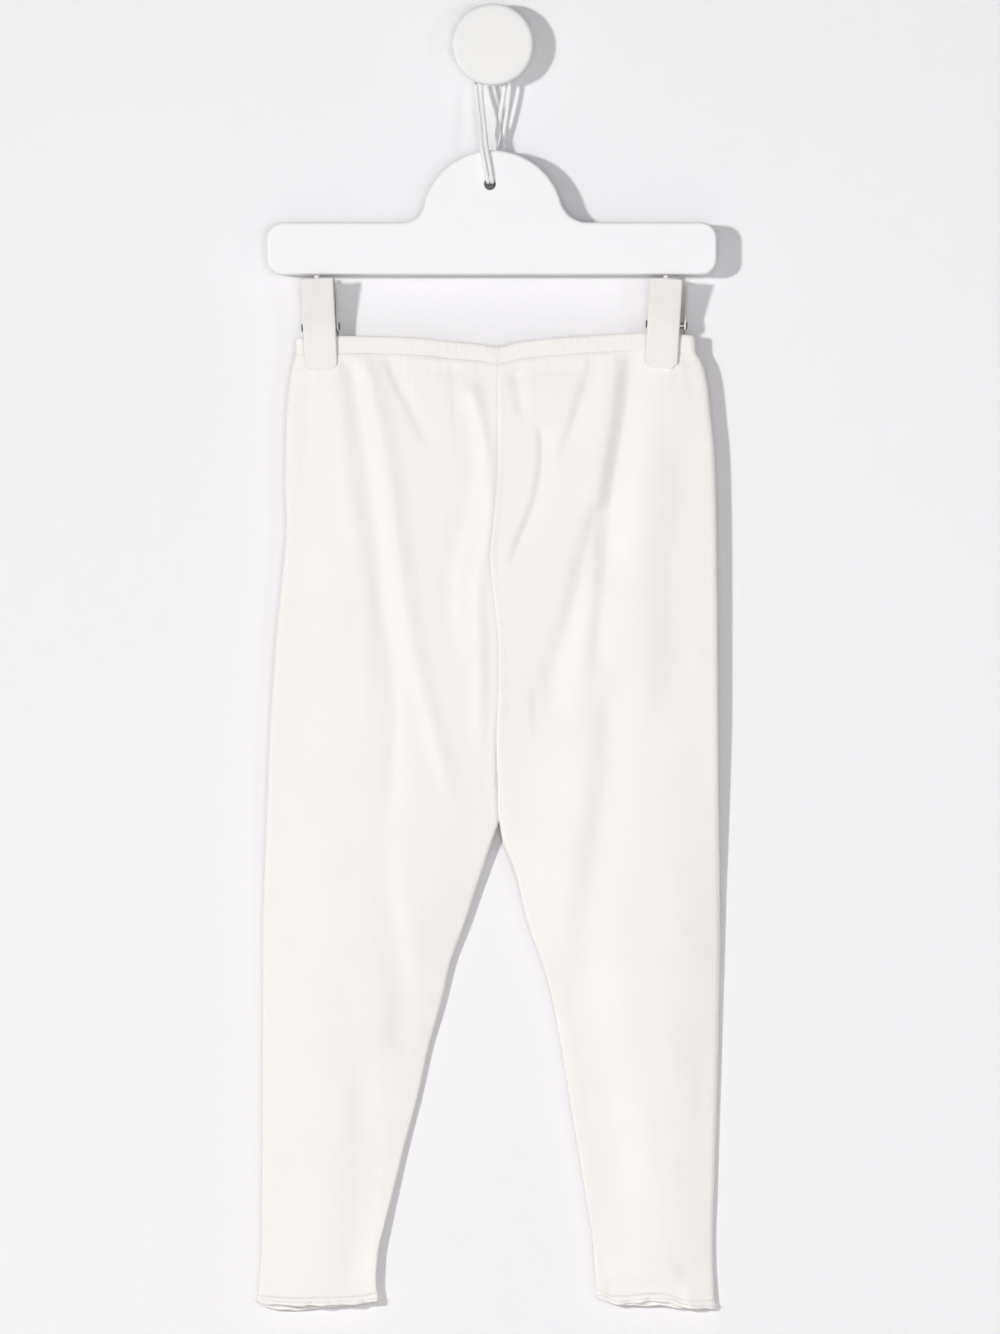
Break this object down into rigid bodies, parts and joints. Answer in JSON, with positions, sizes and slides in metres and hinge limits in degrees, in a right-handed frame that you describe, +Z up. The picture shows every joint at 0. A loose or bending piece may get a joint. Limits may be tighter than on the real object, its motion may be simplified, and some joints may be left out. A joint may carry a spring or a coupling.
{
  "type": "children's jersey leggings clipped to a trouser hanger on a wall peg",
  "caption": "Flat-hanging pull-on jersey leggings with a gathered elastic waist and wavy oversewn hems, held by two sheet-metal clips under a rounded hanger on a corded wall peg.",
  "frame": {"origin": "centre of the wall peg's flat round back face, on the wall", "axes": "+Z up, +Y into the wall (the peg's back face looks that way), +X to the viewer's right; everything stands at y below 0"},
  "size_m": [0.2577, 0.0281, 0.732],
  "materials": {
    "jersey": "matt brushed cotton jersey, warm off-white",
    "hem_thread": "matt oversewn thread over jersey",
    "hanger_paint": "satin white paint on wood",
    "peg_paint": "satin white paint on wood",
    "cord": "white covered elastic cord",
    "clip_paint": "semi-gloss off-white enamel on sheet steel",
    "pin_steel": "dark spring steel"
  },
  "bodies": {
    "root": {"leg_left": "jersey", "leg_right": "jersey", "waist_casing_left": "jersey", "waist_casing_right": "jersey", "hem_left": "hem_thread", "hem_right": "hem_thread", "hanger_board": "hanger_paint", "peg": "peg_paint", "cord_turn_front": "cord", "cord_turn_back": "cord", "clip_front_left": "clip_paint", "clip_rear_left": "clip_paint", "clip_tongue_left": "clip_paint", "clip_pin_left": "pin_steel", "clip_front_right": "clip_paint", "clip_rear_right": "clip_paint", "clip_tongue_right": "clip_paint", "clip_pin_right": "pin_steel"}
  },
  "joints": []
}
